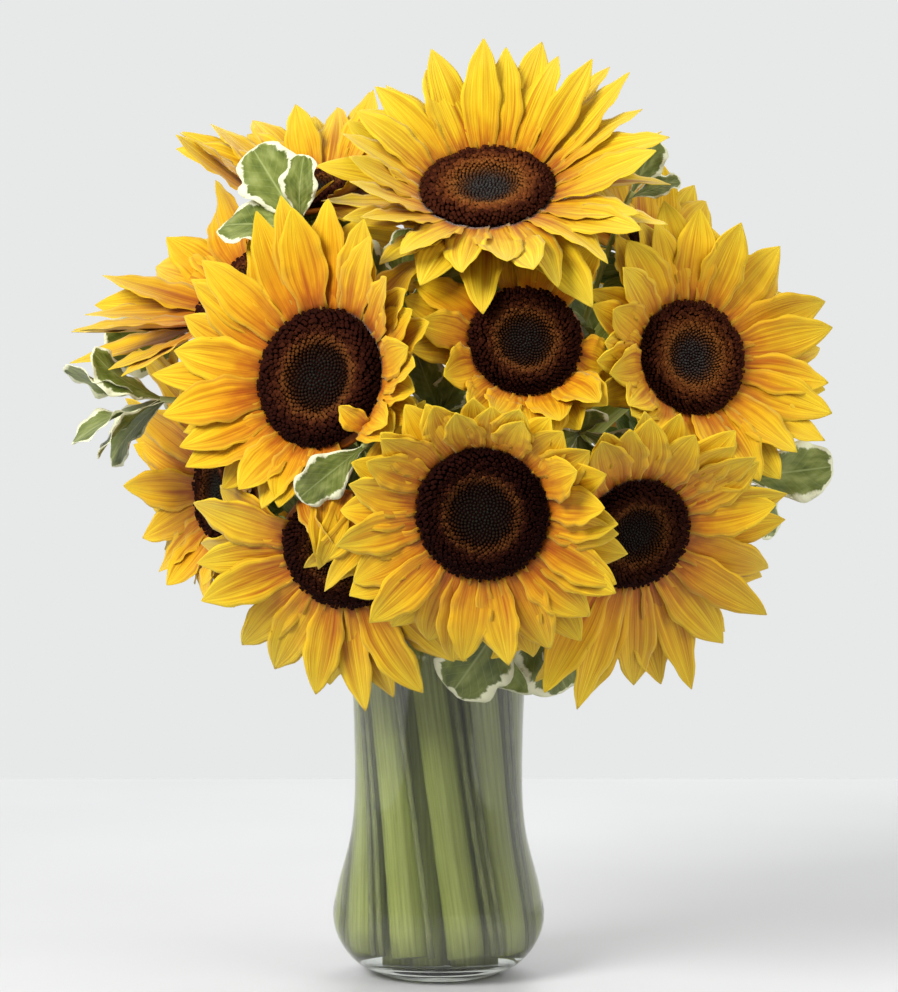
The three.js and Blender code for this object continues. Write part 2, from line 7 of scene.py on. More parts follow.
import itertools
import math

import bmesh
import bpy
import numpy as np
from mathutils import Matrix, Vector


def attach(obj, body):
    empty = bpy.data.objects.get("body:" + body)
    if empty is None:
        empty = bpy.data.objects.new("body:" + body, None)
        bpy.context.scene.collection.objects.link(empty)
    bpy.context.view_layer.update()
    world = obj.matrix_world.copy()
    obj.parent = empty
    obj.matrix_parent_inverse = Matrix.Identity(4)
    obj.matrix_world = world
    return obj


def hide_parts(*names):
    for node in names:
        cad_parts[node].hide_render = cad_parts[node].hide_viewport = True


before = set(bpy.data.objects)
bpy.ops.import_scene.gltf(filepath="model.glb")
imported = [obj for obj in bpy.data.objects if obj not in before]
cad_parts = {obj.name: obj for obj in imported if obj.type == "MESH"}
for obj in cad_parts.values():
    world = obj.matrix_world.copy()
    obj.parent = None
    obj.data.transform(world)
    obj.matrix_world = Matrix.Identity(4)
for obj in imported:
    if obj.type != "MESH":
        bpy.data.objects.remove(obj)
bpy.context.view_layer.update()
MM = 0.001

# ---- The layout, as in the solids ----

GAP = 0.3
VASE_WALL, VASE_FLOOR, FLOOR_RADIUS, TURN_UP = 3, 10, 31, 34
# The outside of the glass, as (radius, height), from the foot to the rim.
VASE_OUTLINE = [
    (28, 0), (39.3, 5.5), (47.2, 15), (50.7, 26.5), (49, 40), (41.4, 72), (40.4, 112), (43.2, 158),
    (51.5, 202),
]
WATER_LEVEL = 158

STEM = dict(neck=6.4, free=172, waist=115, rise=40, reach=42, low=260, low_rise=46)
# Rings of stems: distance from the axis at the waist, slope of their twist, radius of a stem, height of
# the cut ends.
OUTER_RING = (28.3, 0.12, 8, 15)
INNER_RING = (13.8, 0.06, 6.2, VASE_FLOOR + GAP)
SPRAY_RING = (33.4, 0.14, 1.7, 15)
SPRAY_SLOTS = [21.5 + 45 * (i // 2) + (3.9 if i % 2 else -3.9) for i in range(16)]
ROUTE_STEPS, FINE_STEM_STEPS, FINE_SHOOT_STEPS = 5, 26, 24
ROOM, SHOOT_ROOM = 0.6, 0.4  # kept round what stands, and round a shoot that looks for its way
PLATE_REACH, CUP_DEPTH = 1, 20
PETAL = dict(
    width=16.5, root_sink=3.5, root_share=0.42, fold=0.14, wave=0.06, layer_drop=1.1, layer_pitch=9,
)
PETAL_PITCHES = (math.radians(-20), math.radians(46))
FINE_WIDER = 1.22  # a petal as drawn, beside its solid
# Petals drawn between the solid ones: their draws are counted from first_draw, and they are a little
# steeper, higher and shorter.
BETWEEN = dict(first_draw=20, steeper=5, drop=-0.8, shorter=0.92)
LEAF = dict(slimness=0.56, fold=0.14, wave=0.16)
LEAF_PITCHES = (math.radians(-60), math.radians(85))

# Sunflowers: centre of the disc, [turn, tilt] that it faces, disc radius, (petal length, count), pitch of
# the petals, (how much more they rise, at which clock angle), (how much shorter they are, at which clock
# angle), (ring, angle) of the stem in the vase, and how lemon-yellow the petals are.
SUNFLOWERS = [
    ((20, -126, 227), (-8, -8), 31, (34.5, 20), 14, (26, 80), (0.25, 80), (OUTER_RING, 44), 0.15),
    ((23, -50, 372), (-5, 52), 32.5, (52, 20), 27, (18, 104), (0.12, 200), (INNER_RING, 200), 1.0),
    ((-52, -92, 286), (-28, 10), 33.5, (38, 20), 24, (20, 330), (0.42, 320), (INNER_RING, -40), 0.1),
    ((115, -68, 295), (24, 10), 27.5, (39, 20), 20, (17, 215), (0.3, 205), (INNER_RING, 80), 0.35),
    ((39, -93, 302), (5, 18), 26.5, (28, 18), 36, (8, 90), (0.2, 300), (INNER_RING, 20), 0.1),
    ((88, -95, 217), (20, -18), 27, (48, 19), 6, (10, 110), (0.32, 95), (OUTER_RING, 89), 0.2),
    ((-43, -95, 209), (-18, -20), 28.5, (51, 19), 6, (10, 60), (0, 0), (OUTER_RING, -1), 0.5),
    ((-95, -10, 327), (-64, 42), 25, (54, 17), 34, (0, 0), (0.22, 90), (OUTER_RING, -91), 0.3),
    ((-60, 18, 374), (-24, 68), 25, (55, 17), 36, (10, 270), (0, 0), (INNER_RING, -100), 0.5),
    ((-102, -22, 233), (-62, 0), 24, (46, 17), 20, (0, 0), (0.35, 280), (OUTER_RING, -46), 0.1),
    ((108, 20, 336), (50, 38), 25.5, (44, 15), 22, (0, 0), (0, 0), (INNER_RING, 140), 0.5),
    ((108, 58, 238), (116, -4), 27, (48, 14), 14, (0, 0), (0, 0), (OUTER_RING, 134), 0.3),
    ((24, 96, 333), (176, 32), 27, (50, 13), 20, (0, 0), (0, 0), (OUTER_RING, 179), 0.5),
    ((-58, 90, 248), (-150, 0), 27, (48, 13), 16, (0, 0), (0, 0), (OUTER_RING, -136), 0.2),
]

# Sprays: end of the shoot, [turn, tilt] that it points, how many sunflowers stand before its leaves,
# and [clock angle, pitch, length] of each leaf.
SPRAYS = [
    ((-63, -66, 356), (-25, 25), 4, [(128, 12, 52), (172, 14, 44), (40, 50, 38), (80, 60, 34)]),
    ((-15, -72, 326), (-10, 20), 4, [(150, 20, 44), (100, 55, 34), (20, 60, 34), (260, 40, 34)]),
    ((1, -84, 272), (0, 10), 4, [(225, 25, 38), (120, 65, 34), (60, 50, 32), (330, 45, 34)]),
    ((-33, -110, 256), (-15, -10), 2, [(215, 20, 38)]),
    ((-130, -38, 276), (-80, 5), 10,
     [(90, 76, 48), (60, 70, 44), (265, 78, 52), (285, 58, 42), (230, 40, 46)]),
    ((-104, -24, 208), (-80, -10), 10, [(240, 50, 36), (290, 60, 34)]),
    ((140, -55, 240), (50, -5), 7,
     [(80, 15, 34), (10, 40, 50), (320, 15, 44), (250, 40, 36), (170, 50, 32)]),
    ((92, -8, 374), (35, 45), 7, [(50, 40, 32), (350, 40, 26)]),
    ((36, -80, 186), (10, -15), 7, [(240, 4, 60), (270, 2, 66), (300, 6, 60)]),
    ((66, -84, 262), (20, 5), 7, [(110, 60, 32), (200, 45, 34), (285, 20, 42), (330, 40, 36)]),
    ((-118, 60, 300), (-120, 10), 14,
     [(0, 40, 54), (55, 15, 50), (110, 45, 54), (170, 20, 52), (250, 40, 52)]),
    ((86, 98, 290), (150, 10), 14,
     [(20, 40, 54), (80, 15, 52), (140, 45, 54), (200, 20, 52), (280, 30, 52)]),
    ((10, 112, 236), (180, -15), 14,
     [(5, 45, 50), (75, 20, 52), (145, 45, 54), (215, 30, 52), (285, 30, 52)]),
]
LEAVES = 100  # owners of sprays are counted from here

rad = math.radians


def vec(*p):
    return np.array(p, float)


def unit(v):
    return v / np.linalg.norm(v)


def smooth(value, low, high):
    """From 0 at low to 1 at high, with soft ends."""
    share = np.clip((np.asarray(value, float) - low) / (high - low), 0, 1)
    return share * share * (3 - 2 * share)


def chance(owner, piece, need):
    """A draw from 0 to 1, the same in every run, for one need of one piece of one owner."""
    mixed = math.sin(owner * 127.1 + piece * 311.7 + need * 74.7) * 43758.5453
    return mixed - math.floor(mixed)


def between(low, high, draw):
    return low + (high - low) * draw


def heading(turn, tilt):
    """A direction: turn from the front towards the right, tilt upwards, in degrees."""
    turn, tilt = rad(turn), rad(tilt)
    return vec(math.sin(turn) * math.cos(tilt), -math.cos(turn) * math.cos(tilt), math.sin(tilt))


class Way:
    """Directions of a head or shoot: out of its face, and right and up for someone facing it."""

    def __init__(self, out):
        self.out = out
        self.right = unit(vec(-out[1], out[0], 0))
        self.up = unit(np.cross(out, self.right))

    def clock(self, angle):
        return self.right * math.cos(angle) + self.up * math.sin(angle)


def around(count):
    """Angles spread evenly round a circle."""
    return [2 * math.pi * j / count for j in range(count)]


# ---- What stands already ----

CELL = 12


class Crowd:
    """Balls with owners, kept in cubic cells so that near ones are found fast."""

    def __init__(self):
        self.cells = {}

    def add(self, points, radius, owner):
        for x, y, z in points:
            key = (math.floor(x / CELL), math.floor(y / CELL), math.floor(z / CELL))
            self.cells.setdefault(key, []).append((x, y, z, radius, owner))

    def clear(self, points, radius, owner):
        for x, y, z in points:
            i, j, k = math.floor(x / CELL), math.floor(y / CELL), math.floor(z / CELL)
            for cell in itertools.product((i - 1, i, i + 1), (j - 1, j, j + 1), (k - 1, k, k + 1)):
                for u, v, w, other_radius, other in self.cells.get(cell, ()):
                    apart = (x - u) ** 2 + (y - v) ** 2 + (z - w) ** 2
                    if other != owner and apart < (radius + other_radius) ** 2:
                        return False
        return True


crowd = Crowd()


# ---- Routes of the stems ----


def slot_at(slot, height):
    """Where the stem in a slot of its ring passes a height."""
    (radius, slope, _, _), angle = slot
    across = (STEM["waist"] - height) * slope
    sine, cosine = math.sin(rad(angle)), math.cos(rad(angle))
    return vec(radius * sine + across * cosine, -radius * cosine + across * sine, height)


def stem_route(slot, end, out, rise, reach, steps):
    """Points of a stem: straight from its foot up its ring's twist, then in a bend to its end."""
    foot, free = slot_at(slot, slot[0][3]), slot_at(slot, STEM["free"])
    along = unit(free - foot)
    bend = [free, free + along * rise, end - out * reach, end]
    return [foot, *(bezier(bend, i / steps) for i in range(steps + 1))]


def bezier(points, t):
    start, first, second, end = points
    u = 1 - t
    return start * u**3 + 3 * first * u * u * t + 3 * second * u * t * t + end * t**3


def spaced(route, step):
    """Points along a route, at most a step apart."""
    points = []
    for here, after in zip(route, route[1:]):
        count = math.ceil(np.linalg.norm(after - here) / step)
        points += [here + (after - here) * (j + 1) / count for j in range(count)]
    return points


# ---- Blades: petals and leaves ----


def petal_half(width, root_share=PETAL["root_share"], widest=0.45, power=2.6):
    """Half the width of a petal along it: a share at its root, all of it at its widest, and a point."""
    def half(share):
        narrowed = 1 - (np.maximum(share - widest, 0) / (1 - widest)) ** power
        return width / 2 * (root_share + (1 - root_share) * smooth(share, 0, widest)) * narrowed

    return half


def fine_petal_half(width):
    """The same petal, wider at the root and more pointed, as it is drawn."""
    return petal_half(width, root_share=0.64, widest=0.4, power=2.3)


def leaf_half(width):
    """Half the width of a leaf along it: narrow at its root and round at its tip."""
    def half(share):
        narrowed = np.sqrt(np.maximum(1 - (np.maximum(share - 0.5, 0) / 0.5) ** 3, 0))
        return width / 2 * (0.1 + 0.9 * smooth(share, 0.02, 0.6)) * narrowed

    return half


def stations(blade, shares):
    """Midline, side and face directions, half width and the two edges' lifts at shares of a blade."""
    share = np.asarray(shares, float)[:, None]
    across = np.cross(blade["out"], blade["radial"])
    turned = blade["pitch"] + blade["curl"] * share
    forth = blade["length"] * (np.sin(turned) - math.sin(blade["pitch"])) / blade["curl"]
    rise = blade["length"] * (math.cos(blade["pitch"]) - np.cos(turned)) / blade["curl"]
    aside = across * blade["sway"] * blade["length"] * share * share
    mid = blade["root"] + blade["radial"] * forth + blade["out"] * rise + aside
    normal = blade["out"] * np.cos(turned) - blade["radial"] * np.sin(turned)
    side = across * np.cos(blade["roll"] * share) + normal * np.sin(blade["roll"] * share)
    face = normal * np.cos(blade["roll"] * share) - across * np.sin(blade["roll"] * share)
    half = blade["half"](share[:, 0])
    waves = [blade["wave"] * np.sin(11 * share[:, 0] + start) for start in (2.1, 0)]
    lifts = [half * (blade["fold"] + wave) for wave in waves]
    return mid, side, face, half, lifts


PROBES = np.array([0.07, 0.16, 0.28, 0.4, 0.52, 0.64, 0.76, 0.88, 1])
ACROSS = (-1, -0.5, 0, 0.5, 1)
BENDS = (0, -9, 9, -18, 18, -27, 27, -36, 36, 45)
SIZES = (1, 0.82, 0.64)
BLADE_RADIUS = 2.4


def probes_of(blade):
    """Points all over a blade, for the crowd."""
    mid, side, face, half, lifts = stations(blade, PROBES)
    points = []
    for i in range(len(PROBES)):
        if half[i] < 0.01:
            points.append(mid[i])
            continue
        for across in ACROSS:
            lift = lifts[0 if across > 0 else 1][i]
            points.append(mid[i] + side[i] * across * half[i] + face[i] * lift * abs(across))
    return [tuple(point) for point in points]


def fitted(blade, owner):
    """The first of a blade's bends, and then of its shorter sizes, that is clear of the crowd."""
    for size in SIZES:
        for bend in BENDS:
            pitch = min(max(blade["pitch"] + rad(bend), blade["pitches"][0]), blade["pitches"][1])
            bent = {**blade, "pitch": pitch, "length": blade["length"] * size}
            probes = probes_of(bent)
            if crowd.clear(probes, BLADE_RADIUS, owner):
                crowd.add(probes, BLADE_RADIUS, owner)
                return bent
    return None


def petal_of(head, index, k, between_them=False):
    """The kth petal of a head, or the finer one that fills the place between it and the next."""
    def draw(need):
        return chance(index, k, need + (BETWEEN["first_draw"] if between_them else 0))

    layer = k % 2
    full_length, count = head["petal"]
    angle = 2 * math.pi * (k + (0.5 if between_them else 0) + between(-0.25, 0.25, draw(0))) / count
    radial = head["way"].clock(angle)
    (lean, lean_clock), (short, short_clock) = head["lean"], head["short"]
    raised = head["cup"] + lean * math.cos(angle - rad(lean_clock)) - layer * PETAL["layer_pitch"]
    drop = 0.4 + layer * PETAL["layer_drop"]
    length = full_length * (1 - short * math.cos(angle - rad(short_clock))) * between(0.9, 1.06, draw(3))
    if between_them:
        raised += layer * PETAL["layer_pitch"] + BETWEEN["steeper"]
        drop, length = BETWEEN["drop"], length * BETWEEN["shorter"]
    sunk = head["at"] + radial * (head["disc"] + PLATE_REACH - PETAL["root_sink"])
    return dict(
        root=sunk - head["way"].out * drop,
        radial=radial,
        out=head["way"].out,
        pitch=rad(raised + between(-6, 6, draw(1))),
        pitches=PETAL_PITCHES,
        curl=rad(between(-38, 12, draw(2)) - 1),
        length=length + PETAL["root_sink"],
        sway=between(-0.1, 0.1, draw(4)),
        roll=rad(between(-28, 28, draw(5))),
        half=petal_half(PETAL["width"] * between(0.88, 1.12, draw(6))),
        fine_half=fine_petal_half(PETAL["width"] * FINE_WIDER * between(0.88, 1.12, draw(6))),
        fold=PETAL["fold"],
        wave=PETAL["wave"],
        chance=draw(7),
    )


def leaf_of(spray, index, k):
    """The kth leaf of a spray. In each group of three, each is rooted a little further back."""
    clock, pitch, length = spray["leaves"][k]

    def draw(need):
        return chance(LEAVES + index, k, need)

    before, end = spray["route"][-2:]
    back = 1 + 2.5 * (k % 3)
    return dict(
        root=end + (before - end) * back / np.linalg.norm(end - before),
        radial=spray["way"].clock(rad(clock)),
        out=spray["way"].out,
        pitch=rad(pitch),
        pitches=LEAF_PITCHES,
        curl=rad(between(-40, -10, draw(2))),
        length=length,
        sway=between(-0.1, 0.1, draw(4)),
        roll=rad(between(-25, 25, draw(5))),
        half=leaf_half(length * LEAF["slimness"] * between(0.92, 1.08, draw(6))),
        fold=LEAF["fold"],
        wave=LEAF["wave"],
        chance=draw(7),
    )


# ---- Laying it all out ----


def disc_point(head, angle, radius, height):
    return head["at"] + head["way"].clock(angle) * radius + head["way"].out * height


# Rings that stand for a head in the crowd: further out than the disc, height, and radius of the probe.
HEAD_PROBES = [
    (-14, -12, 6), (-4, -7, 4.5), (4, -10.5, 2.2), (0, -2, 3.2), (0, 3, 3), (-7, 5, 4), (-16, 4, 5),
]
PROBE_STEP, HEAD_AROUND = 5, 18
GLASS_STEP, GLASS_AROUND, GLASS_PROBE = 6, 54, 2.5


def laid_out():
    """The heads and sprays with the petals and leaves that fit, placed in the same order as the solids."""
    heads = []
    for at, facing, disc, petal, cup, lean, short, slot, lemon in SUNFLOWERS:
        way = Way(heading(*facing))
        at = vec(*at)
        back = at - way.out * (CUP_DEPTH - 2)
        rise = STEM["low_rise"] if at[2] < STEM["low"] else STEM["rise"]
        course = (slot, back, way.out, rise, STEM["reach"])
        heads.append(dict(
            at=at, way=way, disc=disc, petal=petal, cup=cup, lean=lean, short=short, lemon=lemon,
            stem=slot[0][2],
            route=stem_route(*course, ROUTE_STEPS),
            fine=stem_route(*course, FINE_STEM_STEPS),
        ))
    for i, head in enumerate(heads):
        crowd.add(spaced(head["route"][:2], PROBE_STEP), head["stem"] + ROOM, i)
        crowd.add(spaced(head["route"][1:], PROBE_STEP), STEM["neck"] + ROOM, i)
        for further, height, radius in HEAD_PROBES:
            ring = [disc_point(head, a, head["disc"] + further, height) for a in around(HEAD_AROUND)]
            crowd.add(ring, radius, i)
    (waist_radius, waist_height), (rim_radius, rim_height) = VASE_OUTLINE[-3], VASE_OUTLINE[-1]
    for height in range(waist_height + GLASS_STEP, rim_height + 3, GLASS_STEP):
        t = (height - waist_height) / (rim_height - waist_height)
        radius = waist_radius + (rim_radius - waist_radius) * t * t - VASE_WALL / 2
        ring = [(radius * math.cos(a), radius * math.sin(a), height) for a in around(GLASS_AROUND)]
        crowd.add(ring, GLASS_PROBE, "glass")

    sprays = []
    for i, (at, pointing, after, leaves) in enumerate(SPRAYS):
        way = Way(heading(*pointing))
        spray = dict(way=way, after=after, leaves=leaves)
        spray.update(shoot_of(vec(*at), way, LEAVES + i))
        sprays.append(spray)

    for i, head in enumerate(heads):
        head["petals"] = [p for k in range(head["petal"][1]) if (p := fitted(petal_of(head, i, k), i))]
        for j, spray in enumerate(sprays):
            if spray["after"] == i + 1:
                found = [fitted(leaf_of(spray, j, k), LEAVES + j) for k in range(len(spray["leaves"]))]
                spray["blades"] = [blade for blade in found if blade]
    for i, head in enumerate(heads):
        more = [fitted(petal_of(head, i, k, True), i) for k in range(head["petal"][1])]
        head["petals"] += [p for p in more if p]
    return heads, sprays


SLOTS_TRIED, SHOOT_STEP = 10, 4
SET_INS, RISES, REACHES = (0, 6, 12, 18, 24), (30, 50, 70, 90, 15), (30, 50, 15, 70, 95)


def shoot_of(at, way, owner):
    """The first way from a slot in the vase to the end of a shoot that is clear of the crowd."""
    turn = math.degrees(math.atan2(at[0], -at[1]))
    slots = sorted(SPRAY_SLOTS, key=lambda slot: abs((slot - turn + 540) % 360 - 180))[:SLOTS_TRIED]
    for set_in in SET_INS:
        for slot in slots:
            for rise in RISES:
                for reach in REACHES:
                    end = at - way.out * set_in
                    course = ((SPRAY_RING, slot), end, way.out, rise, reach)
                    route = stem_route(*course, ROUTE_STEPS)
                    probes = spaced(route, SHOOT_STEP)
                    if crowd.clear(probes, SPRAY_RING[2] + SHOOT_ROOM, owner):
                        crowd.add(probes, SPRAY_RING[2] + ROOM, owner)
                        return dict(route=route, fine=stem_route(*course, FINE_SHOOT_STEPS))
    raise RuntimeError("no clear way for a shoot")


HEADS, SHOOTS = laid_out()
print("petals", [len(h["petals"]) for h in HEADS], "leaves", [len(s["blades"]) for s in SHOOTS])


# ---- Meshes ----


class Mesh:
    """Gathers grids of points into one mesh, with named values on the points."""

    def __init__(self):
        self.points, self.faces, self.values, self.count = [], [], {}, 0

    def add(self, points, faces, **values):
        points = np.asarray(points, float).reshape(-1, 3)
        self.points.append(points)
        self.faces += [tuple(int(v) + self.count for v in f) for f in faces]
        for name, value in values.items():
            flat = np.broadcast_to(np.asarray(value, float), (len(points),))
            self.values.setdefault(name, []).append(flat)
        self.count += len(points)

    def grid(self, points, wrap=False, **values):
        """A grid of rows by columns; wrap closes the columns into a ring."""
        points = np.asarray(points, float)
        rows, cols = points.shape[:2]
        last = cols if wrap else cols - 1
        faces = [
            (i * cols + j, i * cols + (j + 1) % cols, (i + 1) * cols + (j + 1) % cols, (i + 1) * cols + j)
            for i in range(rows - 1)
            for j in range(last)
        ]
        self.add(points, faces, **{k: np.asarray(v, float).reshape(-1) for k, v in values.items()})

    def piece(self, name, material, slot, *nodes):
        """The mesh as a piece of the part, in the place of the nodes that are named."""
        mesh = bpy.data.meshes.new(name)
        mesh.from_pydata((np.concatenate(self.points) * MM).tolist(), [], self.faces)
        for key, parts in self.values.items():
            mesh.attributes.new(key, "FLOAT", "POINT").data.foreach_set("value", np.concatenate(parts))
        mesh.polygons.foreach_set("use_smooth", [True] * len(mesh.polygons))
        mesh.materials.append(material)
        mesh.validate()
        solid = bmesh.new()
        solid.from_mesh(mesh)
        bmesh.ops.recalc_face_normals(solid, faces=solid.faces)
        solid.to_mesh(mesh)
        solid.free()
        mesh.update()
        obj = bpy.data.objects.new(name, mesh)
        bpy.context.scene.collection.objects.link(obj)
        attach(obj, "root")
        if nodes:
            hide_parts(*nodes)


PETAL_BLADE = dict(rows=18, cols=11, thickness=0.5, ribs=0.2, ruffle=0.12)
LEAF_BLADE = dict(rows=26, cols=11, thickness=0.6, ribs=0.0, ruffle=0.16)
BRACT_BLADE = dict(rows=7, cols=5, thickness=0.6, ribs=0.05, ruffle=0.03)


def blade_mesh(mesh, blade, rows, cols, thickness, ribs, ruffle):
    """A thin closed blade: ribs along it, ruffled edges, and the same bends as its solid."""
    # share runs from root to tip, and cross from -1 at one edge to 1 at the other
    share = np.linspace(0, 1, rows) ** 0.9
    share[-1] = 0.992  # the last row stops short of the point, where the blade has no width
    mid, side, face, half, lifts = stations(blade, share)
    cross = np.linspace(-1, 1, cols)
    turn = 6.28 * blade["chance"]  # where the waves of the ruffles start
    edge = 1 + ruffle * 0.5 * np.sin(19 * share + turn)[:, None] * np.abs(cross) ** 3
    lift = np.where(cross > 0, lifts[0][:, None], lifts[1][:, None]) * np.abs(cross) ** 1.5
    body = np.sin(np.pi * np.clip(share, 0, 1))[:, None]
    lift = lift + ribs * body * np.cos(3 * np.pi * cross) * (1 - cross**4)
    lift = lift + ruffle * half[:, None] * np.sin(27 * share + turn)[:, None] * cross**3 * 0.6
    aside = (cross * half[:, None] * edge)[..., None]
    base = mid[:, None] + side[:, None] * aside + face[:, None] * lift[..., None]
    depth = (thickness / 2 * (1 - 0.8 * cross**4))[None, :, None] * face[:, None]
    top, under = base + depth, base - depth
    ring = np.concatenate([top, under[:, ::-1]], axis=1)
    along = np.repeat(share[:, None], 2 * cols, axis=1)
    across = np.tile(np.concatenate([cross, cross[::-1]]), (rows, 1))
    back = np.tile(np.concatenate([np.zeros(cols), np.ones(cols)]), (rows, 1))
    mesh.grid(ring, wrap=True, along=along, across=across, back=back,
              chance=np.full(along.shape, blade["chance"]), tint=np.full(along.shape, blade.get("tint", 0)))
    first = mesh.count - rows * 2 * cols
    for start in (first, mesh.count - 2 * cols):
        last = start + 2 * cols - 1
        mesh.faces += [(start + j, start + j + 1, last - 1 - j, last - j) for j in range(cols - 1)]


STEM_RIBS = 9


def tube(mesh, route, radii, sides, ribs=0.0):
    """A round stem through points, with frames carried along so that it doesn't twist."""
    route = np.asarray(route)
    side = vec(1, 0, 0)
    rings, heights, angles = [], [], []
    run = 0
    turns = np.array(around(sides))
    for i, point in enumerate(route):
        along = unit(route[min(i + 1, len(route) - 1)] - route[max(i - 1, 0)])
        side = unit(side - along * side.dot(along))
        other = np.cross(along, side)
        radius = radii[i] * (1 + ribs * np.cos(STEM_RIBS * turns))
        right, up = (radius * np.cos(turns))[:, None], (radius * np.sin(turns))[:, None]
        rings.append(point + side * right + other * up)
        run += np.linalg.norm(point - route[i - 1]) if i else 0
        heights.append(np.full(sides, run))
        angles.append(turns)
    mesh.grid(np.array(rings), wrap=True, along=np.array(heights), across=np.array(angles))
    start = mesh.count - sides * len(route)
    mesh.faces.append(tuple(start + j for j in range(sides))[::-1])
    mesh.faces.append(tuple(mesh.count - sides + j for j in range(sides)))


def finely(route, pieces):
    """A stem's route with its straight first part cut into pieces."""
    foot, free = route[:2]
    return [foot + (free - foot) * t for t in np.linspace(0, 1, pieces, endpoint=False)] + route[1:]


def lathe(mesh, profile, segments):
    """A body of revolution about the vase's axis, from [radius, height] points."""
    turns = np.array(around(segments))
    profile = np.asarray(profile)
    x, y = np.outer(profile[:, 0], np.cos(turns)), np.outer(profile[:, 0], np.sin(turns))
    rings = np.stack([x, y, np.repeat(profile[:, 1:2], segments, axis=1)], axis=-1)
    mesh.grid(rings, wrap=True)


def head_rings(head, profile, sides):
    """Rings about a head's axis, from (radius, height) points, and the angles of their points."""
    turns = np.array(around(sides))
    way = head["way"]
    flat = way.right * np.cos(turns)[:, None] + way.up * np.sin(turns)[:, None]
    rings = [head["at"] + flat * radius + way.out * height for radius, height in profile]
    return np.array(rings), turns


# ---- Materials ----


class Shade:
    """A node material, built by short calls."""

    def __init__(self, name, **sockets):
        self.material = bpy.data.materials.new(name)
        self.material.use_nodes = True
        self.nodes, self.links = self.material.node_tree.nodes, self.material.node_tree.links
        self.shader = self.nodes["Principled BSDF"]
        for key, value in sockets.items():
            self.shader.inputs[key.replace("_", " ")].default_value = value

    def node(self, kind, inputs=(), **settings):
        made = self.nodes.new(kind)
        for key, value in settings.items():
            setattr(made, key, value)
        for key, value in dict(inputs).items():
            self.feed(made.inputs[key], value)
        return made

    def feed(self, socket, value):
        if hasattr(value, "links") and hasattr(value, "is_output"):
            self.links.new(value, socket)
        else:
            socket.default_value = value

    def value(self, name):
        return self.node("ShaderNodeAttribute", attribute_name=name).outputs["Fac"]

    def math(self, operation, a, b=0.0, c=0.0, clamp=False):
        made = self.node("ShaderNodeMath", {0: a, 1: b}, operation=operation, use_clamp=clamp)
        if operation == "MULTIPLY_ADD":
            self.feed(made.inputs[2], c)
        return made.outputs[0]

    def times(self, a, b, clamp=False):
        return self.math("MULTIPLY", a, b, clamp=clamp)

    def above(self, value, level):
        """How far a value stands above a level, or 0."""
        return self.math("SUBTRACT", value, level, clamp=True)

    def tinted(self, base, by):
        return self.mix(1.0, base, by, "MULTIPLY")

    def vector(self, x, y, z):
        return self.node("ShaderNodeCombineXYZ", {0: x, 1: y, 2: z}).outputs[0]

    def noise(self, vector, scale=1.0, detail=2.0, rough=0.5):
        settings = {"Vector": vector, "Scale": scale, "Detail": detail, "Roughness": rough}
        return self.node("ShaderNodeTexNoise", settings).outputs["Fac"]

    def grain(self, across, along, own, scale=1.0, detail=2.0, rough=0.5):
        """Noise over a surface's own grid, this much finer across it and along it."""
        x, y = self.times(self.value("across"), across), self.times(self.value("along"), along)
        return self.noise(self.vector(x, y, own), scale, detail, rough)

    def ramp(self, value, stops):
        """Colours along a value; the first two stops are its ends."""
        made = self.node("ShaderNodeValToRGB", {"Fac": value})
        elements = made.color_ramp.elements
        for i, (at, colour) in enumerate(stops):
            stop = elements[i] if i < 2 else elements.new(at)
            stop.position = at
            stop.color = (*colour, 1)
        return made.outputs["Color"]

    def mix(self, fac, a, b, blend="MIX"):
        made = self.node("ShaderNodeMix", data_type="RGBA", blend_type=blend)
        for socket, value in zip([made.inputs[0], made.inputs[6], made.inputs[7]], (fac, a, b)):
            self.feed(socket, (*value, 1) if isinstance(value, tuple) and len(value) == 3 else value)
        return made.outputs[2]

    def bump(self, height, strength, distance):
        made = self.node("ShaderNodeBump", {"Height": height, "Strength": strength, "Distance": distance})
        self.links.new(made.outputs["Normal"], self.shader.inputs["Normal"])

    def colour(self, value):
        self.feed(self.shader.inputs["Base Color"], value)

    def level(self, value, low, high):
        """A value brought from 0..1 to low..high."""
        return self.math("MULTIPLY_ADD", value, high - low, low)


# Colours of petals from root to tip, and of florets from the middle of the disc to its edge. The first
# two stops are the ends.
AMBER = [
    (0.0, (0.26, 0.055, 0.003)), (1.0, (0.80, 0.62, 0.022)), (0.16, (0.54, 0.18, 0.004)),
    (0.36, (0.71, 0.34, 0.005)), (0.66, (0.76, 0.46, 0.009)),
]
LEMON = [
    (0.0, (0.34, 0.09, 0.005)), (1.0, (0.82, 0.67, 0.05)), (0.14, (0.64, 0.30, 0.006)),
    (0.34, (0.74, 0.49, 0.010)), (0.66, (0.78, 0.60, 0.022)),
]
CLOSED_DISC = [
    (0.0, (0.013, 0.015, 0.010)), (1.0, (0.016, 0.004, 0.003)), (0.26, (0.012, 0.009, 0.006)),
    (0.46, (0.016, 0.007, 0.004)), (0.53, (0.05, 0.016, 0.005)), (0.60, (0.10, 0.036, 0.009)),
    (0.66, (0.055, 0.015, 0.006)), (0.74, (0.022, 0.005, 0.003)),
]
OPEN_DISC = [
    (0.0, (0.040, 0.042, 0.042)), (1.0, (0.034, 0.009, 0.004)), (0.26, (0.038, 0.032, 0.028)),
    (0.42, (0.075, 0.032, 0.014)), (0.56, (0.19, 0.070, 0.016)), (0.70, (0.14, 0.042, 0.011)),
    (0.84, (0.045, 0.011, 0.005)),
]
STEM_GREENS = [(0.25, (0.36, 0.41, 0.06)), (0.75, (0.80, 0.86, 0.30)), (0.5, (0.62, 0.69, 0.17))]
